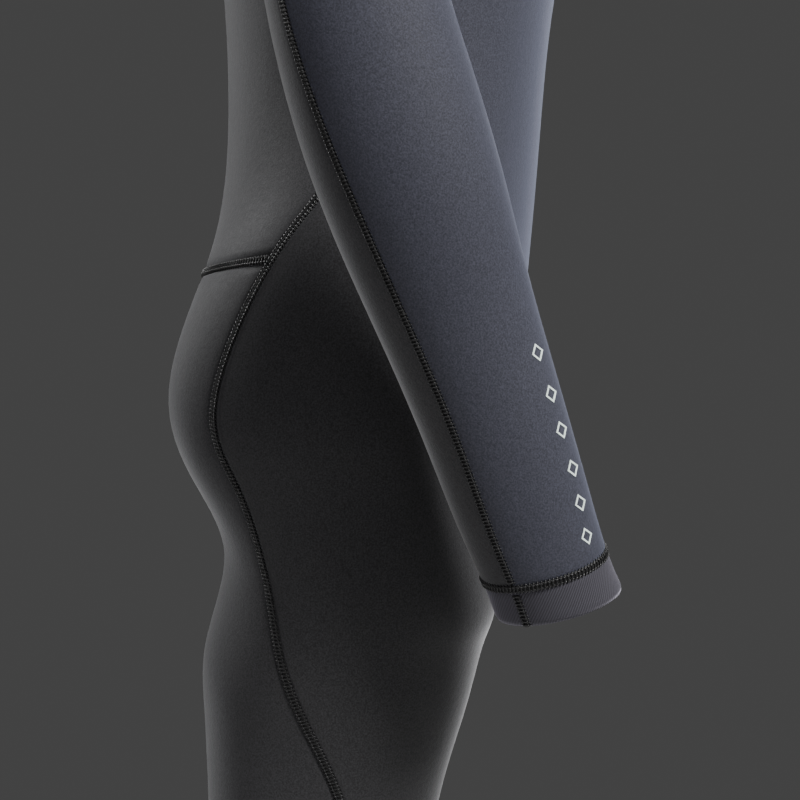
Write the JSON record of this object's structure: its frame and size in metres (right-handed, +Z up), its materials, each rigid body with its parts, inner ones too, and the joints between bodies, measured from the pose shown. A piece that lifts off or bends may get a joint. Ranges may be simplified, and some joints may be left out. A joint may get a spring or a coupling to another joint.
{
  "type": "full wetsuit",
  "caption": "Full-length neoprene wetsuit in worn shape, with long sleeves and legs, sewn panels, ribbed cuffs, a low collar and a chest zip with a sliding pull.",
  "frame": {"origin": "centre of the neck opening, half way between the front and back of the collar's rim", "axes": "+Z up along the wearer's standing height, -Y the way the wearer faces, +X to the wearer's left"},
  "size_m": [0.5696, 0.2459, 1.4416],
  "materials": {
    "blue_neoprene": "matt jersey-faced neoprene, bluish charcoal",
    "black_neoprene": "matt jersey-faced neoprene, charcoal",
    "cuff_knit": "fine diagonal knit over neoprene",
    "stitching": "black flatlock thread",
    "zip_tape": "woven polyester tape",
    "zip_plastic": "moulded acetal, satin",
    "pull_rubber": "soft moulded rubber, matt"
  },
  "bodies": {
    "suit": {"ankle_cuff_left": "cuff_knit", "ankle_cuff_right": "cuff_knit", "ankle_seam_left": "stitching", "ankle_seam_right": "stitching", "armhole_seam_left": "stitching", "armhole_seam_right": "stitching", "back_body": "black_neoprene", "back_rise_seam": "stitching", "back_waist_seam": "stitching", "back_yoke": "black_neoprene", "back_yoke_seam": "stitching", "calf_left": "black_neoprene", "calf_right": "black_neoprene", "calf_seam_left": "stitching", "calf_seam_right": "stitching", "collar": "black_neoprene", "collar_seam": "stitching", "crotch_gusset": "black_neoprene", "front_body": "blue_neoprene", "front_rise_seam": "stitching", "front_thigh_left": "black_neoprene", "front_thigh_right": "black_neoprene", "front_waist_seam": "stitching", "front_yoke": "blue_neoprene", "gusset_seam": "stitching", "inseam_left": "stitching", "inseam_right": "stitching", "knee_bottom_seam_left": "stitching", "knee_bottom_seam_right": "stitching", "knee_left": "black_neoprene", "knee_right": "black_neoprene", "knee_top_seam_left": "stitching", "knee_top_seam_right": "stitching", "seat_left": "black_neoprene", "seat_right": "black_neoprene", "shin_left": "black_neoprene", "shin_right": "black_neoprene", "shoulder_seam_left": "stitching", "shoulder_seam_right": "stitching", "side_seam_left": "stitching", "side_seam_right": "stitching", "sleeve_outer_left": "blue_neoprene", "sleeve_outer_right": "blue_neoprene", "sleeve_seam_inner_left": "stitching", "sleeve_seam_inner_right": "stitching", "sleeve_seam_outer_left": "stitching", "sleeve_seam_outer_right": "stitching", "sleeve_under_left": "black_neoprene", "sleeve_under_right": "black_neoprene", "wrist_cuff_left": "cuff_knit", "wrist_cuff_right": "cuff_knit", "wrist_seam_left": "stitching", "wrist_seam_right": "stitching", "zip_chain": "zip_plastic", "zip_tape_lower": "zip_tape", "zip_tape_upper": "zip_tape"},
    "slider": {"zip_slider": "zip_plastic"},
    "pull": {"zip_pull": "pull_rubber"}
  },
  "joints": [
    {"name": "slider_along_zip", "type": "hinge", "parent": "suit", "child": "slider", "pos_m": [0, 0.1595, -0.135], "axis": [0, 0, 1], "range_deg": [-38.8, 0]},
    {"name": "pull_hinge", "type": "hinge", "parent": "slider", "child": "pull", "pos_m": [0.08618, -0.08522, -0.13242], "axis": [0.1234, -0.3503, -0.9285], "range_deg": [0, 160]}
  ]
}
